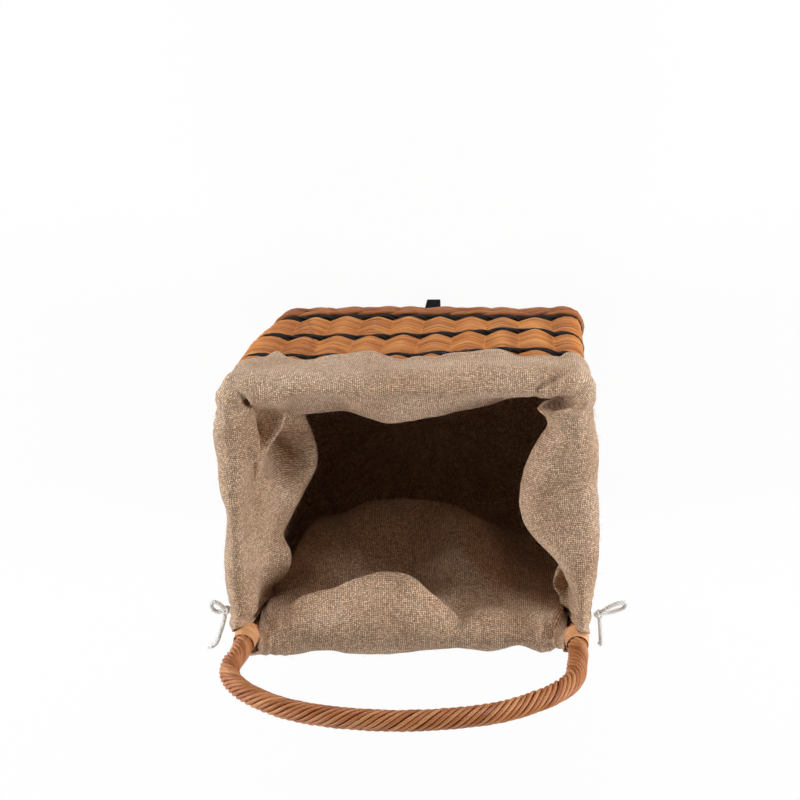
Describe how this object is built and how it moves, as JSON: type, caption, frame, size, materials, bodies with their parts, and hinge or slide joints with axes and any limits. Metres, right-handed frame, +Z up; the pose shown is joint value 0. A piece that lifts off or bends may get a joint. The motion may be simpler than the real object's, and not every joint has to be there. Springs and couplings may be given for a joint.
{
  "type": "wicker firewood basket trolley",
  "caption": "Woven willow firewood basket with a jute liner turned over the rim, a roped pull handle at the back, a steel front foot and wheels on an axle under the base.",
  "frame": {"origin": "on the floor, below the middle of the basket", "axes": "+Z up, -Y the front wall with the steel foot, +Y the back wall with the pull handle, X along the wheel axle"},
  "size_m": [0.485, 0.3296, 0.7344],
  "materials": {
    "willow": "buff willow, satin varnish",
    "border_willow": "darker buff willow, satin varnish",
    "black_willow": "dyed black willow, satin",
    "stake_willow": "buff willow, matt",
    "peeled_willow": "peeled willow skein, satin",
    "plywood": "sanded birch plywood",
    "jute": "coarse plain-woven hessian",
    "cotton": "white twisted cotton cord",
    "black_steel": "black powder coat",
    "zinc_steel": "zinc plated",
    "tyre_rubber": "matt black rubber",
    "wheel_plastic": "moulded, fine texture",
    "nylon": "natural nylon"
  },
  "bodies": {
    "basket": {"base_board": "plywood", "front_stakes": "stake_willow", "back_stakes": "stake_willow", "left_stakes": "stake_willow", "right_stakes": "stake_willow", "front_left_post": "stake_willow", "front_right_post": "stake_willow", "bottom_border": "border_willow", "black_wale_1": "black_willow", "willow_band_1": "willow", "black_wale_2": "black_willow", "willow_band_2": "willow", "black_wale_3": "black_willow", "willow_band_3": "willow", "black_wale_4": "black_willow", "top_border": "border_willow", "handle_core": "stake_willow", "handle_wrap": "willow", "left_handle_binding": "peeled_willow", "right_handle_binding": "peeled_willow", "jute_liner": "jute", "left_tie_knot": "cotton", "right_tie_knot": "cotton", "left_tie_loop": "cotton", "left_tie_tail": "cotton", "right_tie_loop": "cotton", "right_tie_tail": "cotton", "left_inner_washer": "zinc_steel", "left_outer_washer": "zinc_steel", "left_push_cap": "zinc_steel", "right_inner_washer": "zinc_steel", "right_outer_washer": "zinc_steel", "right_push_cap": "zinc_steel", "axle": "zinc_steel", "left_axle_bracket": "black_steel", "right_axle_bracket": "black_steel", "left_bracket_screw_1": "zinc_steel", "left_bracket_screw_2": "zinc_steel", "right_bracket_screw_1": "zinc_steel", "right_bracket_screw_2": "zinc_steel", "front_foot": "black_steel", "foot_screw_1": "zinc_steel", "foot_screw_2": "zinc_steel"},
    "left_wheel": {"left_tyre": "tyre_rubber", "left_wheel_rim": "wheel_plastic", "left_wheel_bush": "nylon"},
    "right_wheel": {"right_tyre": "tyre_rubber", "right_wheel_rim": "wheel_plastic", "right_wheel_bush": "nylon"}
  },
  "joints": [
    {"name": "left_wheel_spin", "type": "hinge", "parent": "basket", "child": "left_wheel", "pos_m": [-0.163, 0.104, 0.05], "axis": [1, 0, 0], "continuous": true},
    {"name": "right_wheel_spin", "type": "hinge", "parent": "basket", "child": "right_wheel", "pos_m": [0.163, 0.104, 0.05], "axis": [1, 0, 0], "continuous": true}
  ]
}
